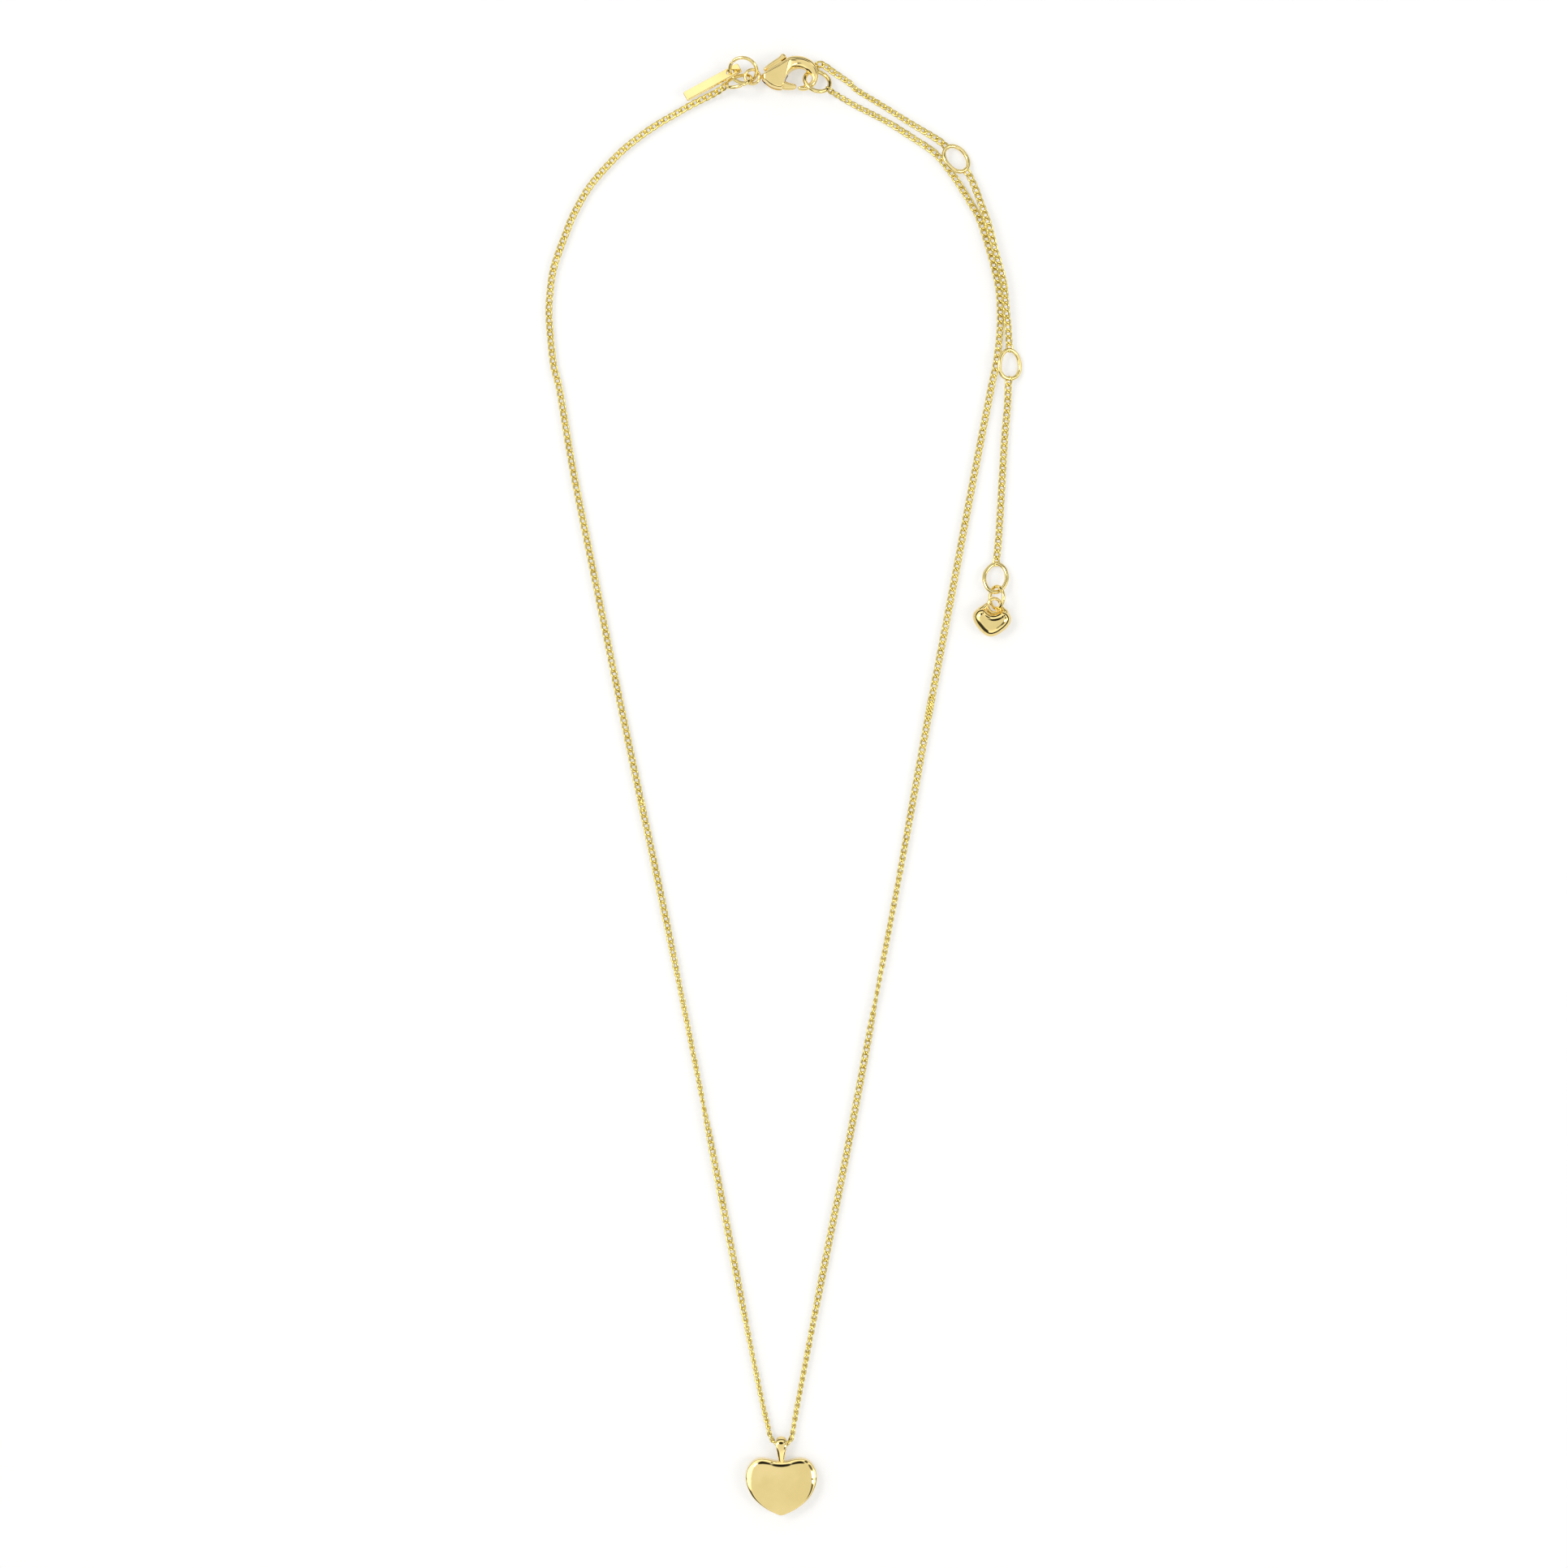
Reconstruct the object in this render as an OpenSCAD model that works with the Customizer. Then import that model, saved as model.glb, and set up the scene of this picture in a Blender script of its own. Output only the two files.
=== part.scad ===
// Pendant necklace lying flat: curb chain with a lobster clasp, an extension
// chain with adjusting rings, a small charm, a blank tag and a heart pendant.
// Millimetres. X to the right, Y towards the clasp, Z up from the table.

/* [Chain] */
// Radius of the round envelope that the curb links fill
chain_r = 0.55; // [0.40:0.05:0.80]
// Radius of the chain where it runs through the bail
chain_bottom_r = 0.42; // [0.30:0.02:0.60]
// Height of the chain's centre line above the table
chain_z = 0.57; // [0.45:0.01:0.90]

/* [Clasp] */
// Height of the clasp's middle plane
clasp_z = 1.50; // [1.20:0.05:2.00]
// Thickness across both cheeks
clasp_thick = 2.80; // [2.20:0.10:3.60]
// Slot between the cheeks that takes the lever
clasp_slot = 1.10; // [0.80:0.05:1.60]
// Thickness of the lever
lever_thick = 0.98; // [0.70:0.02:1.50]
// Radius of the hook's round wire
hook_r = 0.42; // [0.30:0.02:0.60]
// Radius of the hook's arc, to the wire's centre
hook_arc_r = 2.42; // [2.00:0.02:3.00]
// Radius of the lever's rivet
rivet_r = 0.42; // [0.30:0.02:0.60]
// Radial play of the lever on its rivet
rivet_play = 0.05; // [0.02:0.01:0.10]
// Ring radius of the tail eye, to the wire's centre
eye_r = 0.98; // [0.80:0.02:1.20]
// Wire radius of the tail eye
eye_wire_r = 0.20; // [0.15:0.01:0.30]

/* [Rings] */
// Wire radius of the adjusting rings
ring_wire_r = 0.29; // [0.20:0.01:0.40]
// Wire radius of the chain's end ring at the clasp
end_wire_r = 0.26; // [0.20:0.01:0.35]
// Wire radius of the tag's ring
tag_wire_r = 0.24; // [0.18:0.01:0.35]
// Wire radius of the charm's ring
charm_wire_r = 0.25; // [0.18:0.01:0.35]
// Half of an adjusting ring's length, to the wire's centre
oval_long = 1.98; // [1.60:0.02:2.40]
// Half of an adjusting ring's width, to the wire's centre
oval_wide = 1.56; // [1.30:0.02:2.00]

/* [Tag] */
// Length of the blank tag
tag_long = 8.50; // [6.00:0.10:12.00]
// Width of the blank tag
tag_wide = 1.45; // [1.20:0.05:2.50]
// Thickness of the blank tag
tag_thick = 0.40; // [0.30:0.05:0.80]
// Radius of the tag's hole
tag_hole_r = 0.48; // [0.40:0.02:0.52]

/* [Pendant] */
// Width of the pendant heart
heart_wide = 9.74; // [7.00:0.10:14.00]
// Thickness of the pendant heart
heart_thick = 2.00; // [1.40:0.10:3.00]
// Width of the bail along the chain
bail_wide = 1.48; // [1.00:0.02:2.00]
// Thickness of the bail's band
bail_band = 0.36; // [0.25:0.01:0.50]
// Height of the bail's axis above the table
bail_z = 1.15; // [1.00:0.05:1.50]

/* [Charm] */
// Width of the charm heart
charm_wide = 5.26; // [4.00:0.10:7.00]
// Thickness of the charm heart
charm_thick = 2.40; // [1.60:0.10:3.20]

/* [Hidden] */
GOLD = [0.90, 0.73, 0.39];
DEEP = [0.78, 0.60, 0.30];
PALE = [0.96, 0.86, 0.62];

// Pivots of the clasp and of the two ring-to-hook joints
PIVOT = [-1.60, 96.42];
EYE = [-4.28, 96.75];
HOOK = [1.90, 97.00];

// Chain routes, one point for each ring of the tube
Z = chain_z;
LEFT_UPPER = [
    [-8.42, 95.14, 1.36], [-9.50, 94.55, 0.90], [-11.0, 93.85, 0.65], [-12.9, 92.90, Z],
    [-14.9, 91.75, Z], [-16.9, 90.60, Z], [-18.6, 89.50, Z], [-20.1, 88.40, Z],
    [-21.5, 87.30, Z], [-22.7, 86.20, Z], [-24.8, 84.00, Z], [-26.6, 81.80, Z],
    [-28.0, 79.50, Z], [-29.1, 77.30, Z], [-30.0, 75.00, Z], [-30.8, 72.90, Z],
    [-31.5, 70.70, Z], [-31.9, 68.40, Z], [-32.16, 65.10, Z], [-32.0, 61.80, Z],
    [-31.5, 57.30, Z], [-30.7, 54.00, Z], [-29.6, 47.30, Z], [-28.4, 40.60, Z],
    [-25.7, 27.30, Z], [-23.0, 14.00, Z], [-19.55, -2.47, Z]];
LEFT_LOWER = [
    [-19.45, -2.90, Z], [-17.35, -12.7, Z], [-14.6, -26.0, Z], [-11.9, -39.4, Z],
    [-9.30, -52.7, Z], [-6.70, -66.0, Z], [-4.05, -79.4, Z], [-2.65, -86.0, Z],
    [-2.08, -88.3, Z]];
RIGHT_UPPER = [
    [6.68, 94.68, 1.28], [8.20, 93.85, 0.75], [9.90, 92.90, Z], [12.1, 91.80, Z],
    [14.4, 90.60, Z], [16.2, 89.50, Z], [17.9, 88.40, Z], [19.6, 87.30, Z],
    [21.0, 86.20, Z], [22.8, 84.00, Z], [24.3, 81.80, Z], [25.7, 79.50, Z],
    [26.9, 77.30, Z], [28.3, 72.90, Z], [29.4, 68.40, Z], [29.7, 65.10, Z],
    [29.65, 61.80, Z], [29.1, 57.30, Z], [28.4, 54.00, Z], [25.8, 40.60, Z],
    [23.3, 27.30, Z], [20.05, 10.32, Z]];
RIGHT_LOWER = [
    [19.96, 9.88, Z], [15.85, -12.7, Z], [13.3, -26.0, Z], [10.8, -39.4, Z],
    [8.25, -52.7, Z], [5.60, -66.0, Z], [3.00, -79.4, Z], [1.75, -86.0, Z],
    [1.36, -88.3, Z]];
BOTTOM = [
    [-2.00, -88.75, 0.60], [-1.80, -89.45, 0.72], [-1.42, -90.0, 0.95],
    [-1.08, -90.28, 1.10], [-0.32, -90.36, bail_z], [0.44, -90.28, 1.10],
    [0.78, -90.0, 0.95], [1.14, -89.45, 0.72], [1.29, -88.75, 0.60]];
EXT_1 = [
    [4.95, 98.62, 0.58], [5.70, 98.35, 0.58], [7.10, 97.35, 0.58], [8.90, 96.15, Z],
    [10.1, 95.05, Z], [13.7, 92.85, Z], [17.3, 90.60, Z], [20.9, 88.40, 0.70],
    [21.95, 87.55, 0.80]];
EXT_2 = [
    [25.45, 83.35, 0.85], [26.2, 81.70, 0.95], [27.0, 79.50, 1.25], [27.8, 77.30, 1.40],
    [28.4, 75.20, 1.50], [28.95, 72.90, 1.55], [29.6, 70.60, 1.55], [30.15, 68.40, 1.48],
    [30.45, 65.10, 1.40], [30.75, 62.30, 1.10], [30.9, 60.20, 0.95]];
EXT_3 = [
    [30.8, 54.70, 0.80], [30.7, 52.00, Z], [30.3, 47.30, Z], [29.9, 40.60, Z],
    [29.5, 34.00, Z], [29.2, 30.90, 0.60]];

// Half outline of a heart, tip at the origin, half width 1
HEART = [
    [0.00, 0.00], [0.07, 0.012], [0.16, 0.05], [0.35, 0.14], [0.56, 0.28], [0.76, 0.46],
    [0.885, 0.645], [0.965, 0.83], [1.00, 1.00], [1.00, 1.10], [0.975, 1.225], [0.93, 1.33],
    [0.84, 1.46], [0.72, 1.545], [0.58, 1.58], [0.44, 1.573], [0.30, 1.545], [0.18, 1.51],
    [0.00, 1.49]];
// The same for the charm, which has a deeper dip
CHARM = [
    [0.00, 0.00], [0.12, 0.02], [0.30, 0.12], [0.60, 0.38], [0.87, 0.72], [0.98, 1.00],
    [1.00, 1.14], [0.96, 1.29], [0.86, 1.40], [0.72, 1.455], [0.55, 1.46], [0.38, 1.42],
    [0.20, 1.34], [0.00, 1.28]];

// ---- swept tubes ----
function unit(v) = v / norm(v);
function along(p, i) = unit((i < len(p) - 1 ? p[i + 1] - p[i] : p[i] - p[i - 1])
    / norm(i < len(p) - 1 ? p[i + 1] - p[i] : p[i] - p[i - 1])
    + (i > 0 ? p[i] - p[i - 1] : p[1] - p[0]) / norm(i > 0 ? p[i] - p[i - 1] : p[1] - p[0]));
function side_of(t) = unit(cross([0, 0, 1], t));
function ring_at(p, i, r, n) = let (t = along(p, i), s = side_of(t), u = cross(t, s))
    [for (k = [0 : n - 1]) p[i] + r * (cos(360 * (k + 0.5) / n) * s + sin(360 * (k + 0.5) / n) * u)];
function tube_points(p, r, n) = [for (i = [0 : len(p) - 1]) each ring_at(p, i, r, n)];
function tube_faces(m, n) = concat(
    [[for (k = [0 : n - 1]) k]],
    [for (i = [0 : m - 2]) for (k = [0 : n - 1])
        [i * n + k, (i + 1) * n + k, (i + 1) * n + (k + 1) % n, i * n + (k + 1) % n]],
    [[for (k = [n - 1 : -1 : 0]) (m - 1) * n + k]]);
module tube(p, r, n = 8) {
    polyhedron(points = tube_points(p, r, n), faces = tube_faces(len(p), n), convexity = 10);
}

// ---- rings ----
// A round ring leaning by tilt towards the compass angle az
module ring(at, tilt, az, ring_r, wire_r) {
    translate(at) rotate([0, 0, az]) rotate([0, tilt, 0])
        rotate_extrude($fn = 64) translate([ring_r, 0]) circle(r = wire_r, $fn = 20);
}
// An oval ring: two half rings joined by straight lengths, long way along X
module oval(half_long, half_wide, wire_r) {
    d = half_long - half_wide;
    for (s = [0, 1]) rotate([0, 0, 180 * s]) {
        translate([d, 0, 0]) rotate([0, 0, -90])
            rotate_extrude(angle = 180, $fn = 64) translate([half_wide, 0])
                circle(r = wire_r, $fn = 20);
        translate([-d, half_wide, 0]) rotate([0, 90, 0])
            cylinder(h = 2 * d, r = wire_r, $fn = 20);
    }
}

// ---- hearts ----
module heart_2d(half, w, shrink = 0) {
    k = w / 2;
    offset(delta = -shrink) polygon(concat(
        [for (p = half) p * k],
        [for (i = [len(half) - 2 : -1 : 1]) [-half[i][0], half[i][1]] * k]));
}
// A heart with eased edges, built of stacked slices
module heart_solid(half, w, thick, back, front) {
    levels = [[0, back], [0.10, back * 0.45], [0.26, 0], [0.60, 0], [0.78, front * 0.28],
        [0.91, front * 0.62], [1.0, front]];
    for (i = [0 : len(levels) - 2])
        translate([0, 0, levels[i][0] * thick])
            linear_extrude(height = (levels[i + 1][0] - levels[i][0]) * thick)
                heart_2d(half, w, min(levels[i][1], levels[i + 1][1]));
}

// ---- clasp ----
// Outline of one cheek
CHEEK = [[-2.95, 96.25], [-2.95, 97.00], [-2.20, 97.62], [-1.40, 98.12], [-0.60, 98.50],
    [0.10, 98.78], [0.75, 98.95], [1.35, 98.35], [0.98, 97.25], [0.40, 96.35],
    [0.12, 95.55], [-0.25, 95.00], [-0.85, 94.98], [-1.40, 95.18], [-2.20, 95.75]];
// Root of the hook, from the cheeks to the start of the arc
HOOK_ROOT = [[0.05, 98.75], [0.49, 99.40], [1.10, 99.60], [1.90, 99.78], [2.45, 99.70],
    [2.45, 98.55], [1.95, 98.15], [1.35, 97.75], [0.95, 97.35], [0.45, 97.75]];
// Lever: gate arm, hub and thumb wing
LEVER = [[1.74, 95.05], [1.79, 95.30], [1.76, 95.62], [1.40, 95.80], [0.80, 95.86],
    [0.20, 96.10], [-0.35, 96.60], [-0.80, 97.05], [-1.20, 97.60], [-0.80, 98.35],
    [-0.20, 98.86], [0.20, 99.15], [0.42, 99.45], [0.30, 99.87], [0.02, 100.05],
    [-0.22, 99.90], [-0.60, 99.25], [-1.30, 98.75], [-2.00, 98.15], [-2.45, 97.60],
    [-2.40, 96.90], [-2.38, 96.10], [-1.95, 95.65], [-1.20, 95.52], [-0.45, 95.35],
    [0.10, 95.08], [0.80, 94.96]];

module at_z(z, h) { translate([0, 0, z]) linear_extrude(height = h) children(); }

module clasp_body() {
    cheek = (clasp_thick - clasp_slot) / 2;
    low = clasp_z - clasp_thick / 2;
    color(GOLD) difference() {
        union() {
            for (z = [low, clasp_z + clasp_slot / 2]) {
                at_z(z, cheek) polygon(CHEEK);
            }
            // tail block between the cheeks and the eye
            at_z(clasp_z - 0.80, 1.60)
                polygon([[-3.36, 96.50], [-3.36, 97.00], [-2.90, 97.00], [-2.90, 96.50]]);
            at_z(low, clasp_thick)
                polygon([[-2.95, 96.30], [-2.95, 96.98], [-2.78, 97.10], [-2.78, 96.15]]);
            // tail eye
            translate([EYE[0], EYE[1], clasp_z])
                rotate_extrude($fn = 64) translate([eye_r, 0]) circle(r = eye_wire_r, $fn = 20);
            // hook root, spanning the slot so both cheeks hold it
            at_z(clasp_z - clasp_slot / 2 - 0.05, clasp_slot + 0.10)
                intersection() {
                    polygon(HOOK_ROOT);
                    polygon(CHEEK);
                }
            at_z(clasp_z - 0.45, 0.90) polygon(HOOK_ROOT);
            // hook wire, one round arc with a domed end
            translate([HOOK[0], HOOK[1], clasp_z]) {
                rotate([0, 0, -92])
                    rotate_extrude(angle = 170, $fn = 72)
                        translate([hook_arc_r, 0]) circle(r = hook_r, $fn = 24);
                rotate([0, 0, -92]) translate([hook_arc_r, 0, 0]) sphere(r = hook_r, $fn = 24);
            }
        }
        translate([PIVOT[0], PIVOT[1], -1]) cylinder(h = 6, r = rivet_r, $fn = 48);
    }
}

module clasp_lever() {
    hub = 0.42;
    color(PALE) difference() {
        at_z(clasp_z - lever_thick / 2, lever_thick) polygon(LEVER);
        translate([PIVOT[0], PIVOT[1], -1])
            cylinder(h = 6, r = rivet_r + rivet_play, $fn = 48);
        // recess for the return spring
        translate([PIVOT[0], PIVOT[1], clasp_z + lever_thick / 2 - hub])
            cylinder(h = 1, r = 0.74, $fn = 48);
    }
}

module clasp_rivet() {
    color(DEEP) translate([PIVOT[0], PIVOT[1], clasp_z - clasp_thick / 2])
        cylinder(h = clasp_thick, r = rivet_r, $fn = 48);
}

module clasp_spring() {
    color(DEEP) translate([PIVOT[0], PIVOT[1], clasp_z + lever_thick / 2 - 0.18])
        rotate_extrude($fn = 48) translate([0.58, 0]) circle(r = 0.12, $fn = 16);
}

// ---- rings at the clasp ----
module end_ring_left() {
    color(GOLD) ring([-6.18, 96.07, 1.84], 58.3, 108.3, 1.77, end_wire_r);
}
module tag_ring() {
    color(GOLD) ring([-5.52, 97.55, 1.85], 35.2, 254.6, 1.87, tag_wire_r);
}
module hook_ring() {
    color(GOLD) ring([4.61, 96.11, 1.45], 35, 63.5, 1.77, ring_wire_r);
}

// ---- tag ----
module tag_plate() {
    hole = 1.50;
    color(PALE) translate([-7.31, 97.33, 1.38]) rotate([0, 0, 208.5])
        rotate([27, 0, 0]) difference() {
            translate([-hole, 0, -tag_thick / 2]) linear_extrude(height = tag_thick)
                offset(r = 0.22, $fn = 24) translate([0.22, -tag_wide / 2 + 0.22])
                    square([tag_long - 0.44, tag_wide - 0.44]);
            translate([0, 0, -2]) cylinder(h = 4, r = tag_hole_r, $fn = 40);
        }
}

// ---- chain ----
module chain_left_upper() { color(GOLD) tube(LEFT_UPPER, chain_r); }
module chain_left_lower() { color(GOLD) tube(LEFT_LOWER, chain_r); }
module chain_bottom() { color(GOLD) tube(BOTTOM, chain_bottom_r); }
module chain_right_lower() { color(GOLD) tube(RIGHT_LOWER, chain_r); }
module chain_right_upper() { color(GOLD) tube(RIGHT_UPPER, chain_r); }
module extension_chain_1() { color(GOLD) tube(EXT_1, chain_r); }
module extension_chain_2() { color(GOLD) tube(EXT_2, chain_r); }
module extension_chain_3() { color(GOLD) tube(EXT_3, chain_r); }

// ---- rings of the extension ----
module adjust_ring_1() {
    color(GOLD) translate([23.64, 85.60, 0.98]) rotate([0, 0, -51]) rotate([-24, 0, 0])
        rotate([0, 0, 0]) oval(oval_long, oval_wide, ring_wire_r);
}
module adjust_ring_2() {
    color(GOLD) translate([30.95, 57.45, 0.98]) rotate([0, 0, 90]) rotate([24, 0, 0])
        oval(oval_long, oval_wide, ring_wire_r);
}
module end_ring_right() {
    color(GOLD) translate([29.02, 28.25, 0.85]) rotate([0, 0, -90]) rotate([0, -13, 0])
        oval(oval_long, oval_wide, ring_wire_r);
}

// ---- charm ----
module charm_ring() {
    color(GOLD) ring([29.17, 25.50, 1.52], 55.5, 180, 1.50, charm_wire_r);
}
module charm_heart() {
    color(GOLD) {
        translate([28.22, 20.16, 0.02]) rotate([0, 0, -7])
            heart_solid(CHARM, charm_wide, charm_thick, 0.55, 0.75);
        // loop, sunk into the dip between the lobes
        translate([28.88, 24.30, 1.20])
            rotate_extrude($fn = 48) translate([0.90, 0]) circle(r = 0.20, $fn = 16);
    }
}

// ---- pendant ----
module pendant_heart() {
    color(GOLD) translate([-0.32, -100.05, 0]) heart_solid(HEART, heart_wide, heart_thick, 0.12, 0.60);
}
module pendant_bail() {
    color(GOLD) translate([-0.32, -90.34, bail_z]) rotate([0, 90, 0])
        difference() {
            union() {
                translate([0, 0, -bail_wide / 2])
                    cylinder(h = bail_wide, r = 1.03, $fn = 64);
                // neck down to the heart
                translate([-0.30, -2.50, -0.55]) cube([0.60, 1.75, 1.10]);
            }
            translate([0, 0, -bail_wide]) cylinder(h = 2 * bail_wide, r = 1.03 - bail_band, $fn = 64);
        }
}

clasp_body();
clasp_lever();
clasp_rivet();
clasp_spring();
end_ring_left();
tag_ring();
tag_plate();
chain_left_upper();
chain_left_lower();
chain_bottom();
chain_right_lower();
chain_right_upper();
hook_ring();
extension_chain_1();
adjust_ring_1();
extension_chain_2();
adjust_ring_2();
extension_chain_3();
end_ring_right();
charm_ring();
charm_heart();
pendant_heart();
pendant_bail();
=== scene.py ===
import math
import bpy
import numpy as np
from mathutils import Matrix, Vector

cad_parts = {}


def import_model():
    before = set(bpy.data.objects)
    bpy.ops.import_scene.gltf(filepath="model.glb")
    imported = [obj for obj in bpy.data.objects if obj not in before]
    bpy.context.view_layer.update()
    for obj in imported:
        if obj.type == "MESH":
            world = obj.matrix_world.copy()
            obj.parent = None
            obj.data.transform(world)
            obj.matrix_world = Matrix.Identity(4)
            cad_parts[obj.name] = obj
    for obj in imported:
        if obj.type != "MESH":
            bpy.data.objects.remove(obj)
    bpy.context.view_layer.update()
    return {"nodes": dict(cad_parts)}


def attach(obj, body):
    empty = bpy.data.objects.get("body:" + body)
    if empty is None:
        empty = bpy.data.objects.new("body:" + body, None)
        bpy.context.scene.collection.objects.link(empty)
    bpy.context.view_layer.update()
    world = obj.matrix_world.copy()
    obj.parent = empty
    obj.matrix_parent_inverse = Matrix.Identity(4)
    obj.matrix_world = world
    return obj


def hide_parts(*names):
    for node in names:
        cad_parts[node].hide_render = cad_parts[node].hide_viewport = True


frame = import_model()
RNG = np.random.default_rng(7)
U = 0.001  # the routes and outlines below are in millimetres


# ---------------------------------------------------------------- camera
def make_camera():
    cam = bpy.data.cameras.new("camera")
    cam.sensor_width = 36.0
    cam.lens = 90.0
    ob = bpy.data.objects.new("camera", cam)
    bpy.context.collection.objects.link(ob)
    wide = 0.21467  # width of table in view, at the height of the pieces
    ob.location = (0.00006, -0.00003, 0.0012 + wide * cam.lens / cam.sensor_width)
    cam.clip_start, cam.clip_end = 0.01, 20.0
    bpy.context.scene.camera = ob


make_camera()


# ---------------------------------------------------------------- curves and meshes
def spline(points, step):
    """Catmull-Rom curve through points, resampled evenly at about step."""
    p = np.array(points, float)
    p = np.vstack([2 * p[0] - p[1], p, 2 * p[-1] - p[-2]])
    out = []
    for i in range(1, len(p) - 2):
        t = np.linspace(0, 1, 24, endpoint=False)[:, None]
        a, b, c, d = p[i - 1], p[i], p[i + 1], p[i + 2]
        out.append(0.5 * (2 * b + (c - a) * t + (2 * a - 5 * b + 4 * c - d) * t * t
                          + (3 * b - a - 3 * c + d) * t ** 3))
    return even(np.vstack(out + [p[-2:-1]]), step)


def loop_spline(points, n):
    """Closed Catmull-Rom curve with n even points."""
    p = np.array(points, float)
    out = []
    m = len(p)
    for i in range(m):
        t = np.linspace(0, 1, 24, endpoint=False)[:, None]
        a, b, c, d = p[i - 1], p[i], p[(i + 1) % m], p[(i + 2) % m]
        out.append(0.5 * (2 * b + (c - a) * t + (2 * a - 5 * b + 4 * c - d) * t * t
                          + (3 * b - a - 3 * c + d) * t ** 3))
    q = np.vstack(out)
    q = np.vstack([q, q[:1]])
    s = arc(q)
    g = np.linspace(0, s[-1], n, endpoint=False)
    return np.column_stack([np.interp(g, s, q[:, k]) for k in range(q.shape[1])])


def arc(p):
    """Length along p at each of its points."""
    return np.concatenate([[0], np.cumsum(np.linalg.norm(np.diff(p, axis=0), axis=1))])


def even(p, step):
    """p resampled evenly at about step."""
    s = arc(p)
    n = max(2, int(round(s[-1] / step)) + 1)
    g = np.linspace(0, s[-1], n)
    return np.column_stack([np.interp(g, s, p[:, k]) for k in range(p.shape[1])])


def unit(v):
    v = np.array(v, float)
    n = np.linalg.norm(v, axis=-1, keepdims=True)
    return v / np.where(n > 1e-12, n, 1)


def turn_z(degrees):
    """Matrix that turns about Z."""
    a = math.radians(degrees)
    return np.array([[math.cos(a), -math.sin(a), 0], [math.sin(a), math.cos(a), 0], [0, 0, 1]])


def mesh_object(name, verts, faces, body, mat, sharp=None):
    """A smooth mesh on its body, with edges over sharp degrees kept crisp."""
    me = bpy.data.meshes.new(name)
    me.from_pydata((np.array(verts) * U).tolist(), [], [list(map(int, f)) for f in faces])
    me.validate()
    me.update()
    me.polygons.foreach_set("use_smooth", [True] * len(me.polygons))
    if sharp is not None:
        me.set_sharp_from_angle(angle=math.radians(sharp))
    ob = bpy.data.objects.new(name, me)
    bpy.context.collection.objects.link(ob)
    me.materials.append(mat)
    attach(ob, body)
    return ob


def tangents(p, closed):
    if closed:
        return unit(np.roll(p, -1, 0) - np.roll(p, 1, 0))
    return unit(np.gradient(p, axis=0))


def carry(p, first, closed):
    """Side vectors carried along a path without twisting."""
    t = tangents(p, closed)
    side = np.array(first, float)
    side = unit(side - side.dot(t[0]) * t[0])
    out = [side]
    for i in range(1, len(p)):
        side = side - side.dot(t[i]) * t[i]
        side = unit(side)
        out.append(side)
    return t, np.array(out)


def sweep(p, wide, high, side, closed=False, sides=14, round_ends=0.0):
    """Vertices and faces of a tube along p. wide and high are half sizes along side and
    across it; round_ends is the length over which open ends are rounded off."""
    t, s = carry(p, side, closed)
    u = np.cross(t, s)
    n = len(p)
    wide = np.broadcast_to(np.array(wide, float), n).copy()
    high = np.broadcast_to(np.array(high, float), n).copy()
    if round_ends and not closed:
        d = np.minimum(arc(p), arc(p)[-1] - arc(p))
        k = np.sqrt(np.clip(1 - (1 - np.clip(d / round_ends, 0, 1)) ** 2, 0.0004, 1))
        wide, high = wide * k, high * k
    a = np.linspace(0, 2 * math.pi, sides, endpoint=False)
    v = (p[:, None, :] + (wide[:, None] * np.cos(a))[:, :, None] * s[:, None, :]
         + (high[:, None] * np.sin(a))[:, :, None] * u[:, None, :]).reshape(-1, 3)
    f = []
    for i in range(n if closed else n - 1):
        j = (i + 1) % n
        for k in range(sides):
            m = (k + 1) % sides
            f.append([i * sides + k, i * sides + m, j * sides + m, j * sides + k])
    if not closed:
        f.append(list(range(sides - 1, -1, -1)))
        f.append([(n - 1) * sides + k for k in range(sides)])
    return v, f


def join(parts):
    """Several sets of vertices and faces as one."""
    vs, fs, k = [], [], 0
    for v, f in parts:
        vs.append(np.asarray(v))
        fs += [[i + k for i in g] for g in f]
        k += len(v)
    return np.vstack(vs), fs


# ---------------------------------------------------------------- materials
def lin(c):
    """A display colour as linear RGBA."""
    return tuple(x / 12.92 if x <= 0.04045 else ((x + 0.055) / 1.055) ** 2.4 for x in c) + (1.0,)


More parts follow.
